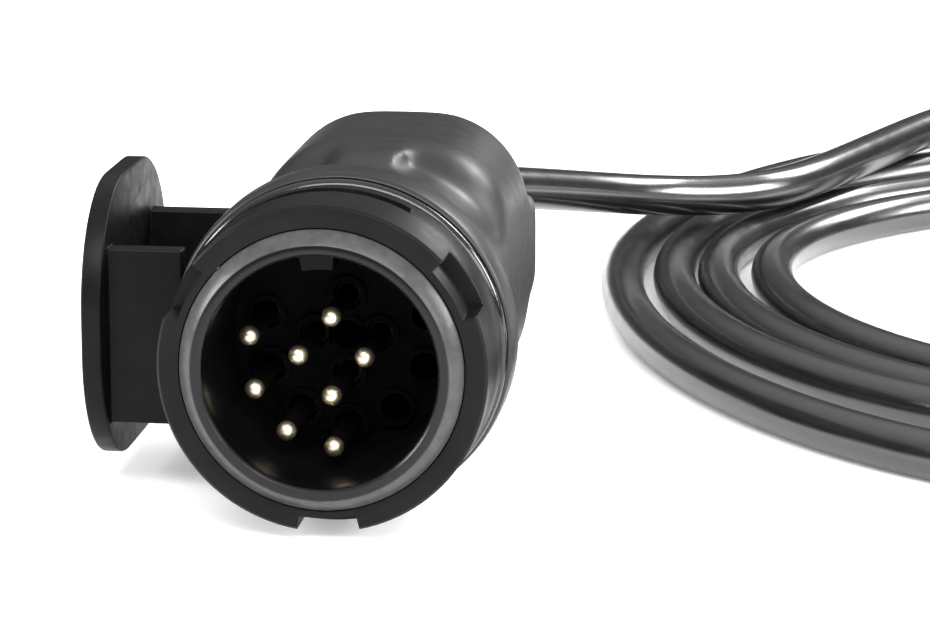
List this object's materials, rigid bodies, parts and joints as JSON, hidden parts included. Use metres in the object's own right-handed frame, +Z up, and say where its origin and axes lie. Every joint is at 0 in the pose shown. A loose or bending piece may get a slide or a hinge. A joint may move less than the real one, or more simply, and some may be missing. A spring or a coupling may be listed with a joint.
{
  "type": "trailer wiring connector",
  "caption": "Round locking trailer plug with ball-ended contacts, a turning claw ring, a side grip wing and a loosely coiled lead with stripped ends.",
  "frame": {"origin": "centre of the plug's box at its base, under the middle of the plug's length", "axes": "+Y along the plug's axis from the mating face to the cable, +Z up, +X away from the grip wing"},
  "size_m": [0.2185, 0.3165, 0.046],
  "materials": {
    "insert_plastic": "glossy glass-filled nylon, worn grey at the rim chamfer",
    "ring_plastic": "satin moulded nylon",
    "shell_plastic": "satin moulded plastic with fine grain",
    "wing_plastic": "satin moulded plastic with fine grain",
    "nut_plastic": "satin moulded nylon",
    "clamp_plastic": "plain moulded nylon",
    "seal_rubber": "smooth greased rubber",
    "cable_jacket": "smooth soft PVC jacket",
    "core_insulation": "coloured core insulation",
    "plated_brass": "polished plated brass",
    "steel": "zinc-plated steel"
  },
  "bodies": {
    "plug": {"contact_insert": "insert_plastic", "stop_peg": "steel", "ring_seal": "seal_rubber", "insert_seal": "seal_rubber", "insert_clip": "steel", "rear_shell": "shell_plastic", "grip_wing": "wing_plastic", "cable_clamp": "clamp_plastic", "clamp_screws": "steel", "cable_grommet": "seal_rubber", "gland_nut": "nut_plastic", "terminal_screws": "steel", "cable_stub": "cable_jacket", "cable_lead": "cable_jacket", "cable_coil": "cable_jacket", "cable_tail": "cable_jacket", "tail_cores": "core_insulation", "contact_pin_1": "plated_brass", "core_1": "core_insulation", "contact_pin_2": "plated_brass", "core_2": "core_insulation", "contact_pin_3": "plated_brass", "core_3": "core_insulation", "contact_pin_4": "plated_brass", "core_4": "core_insulation", "contact_pin_5": "plated_brass", "core_5": "core_insulation", "contact_pin_6": "plated_brass", "core_6": "core_insulation", "contact_pin_7": "plated_brass", "core_7": "core_insulation", "contact_pin_8": "plated_brass", "core_8": "core_insulation"},
    "coupling_ring": {"coupling_ring": "ring_plastic"}
  },
  "joints": [
    {"name": "coupling_turn", "type": "hinge", "parent": "plug", "child": "coupling_ring", "pos_m": [0.006, -0.048, 0.023], "axis": [0, -1, 0], "range_deg": [0, 80]}
  ]
}
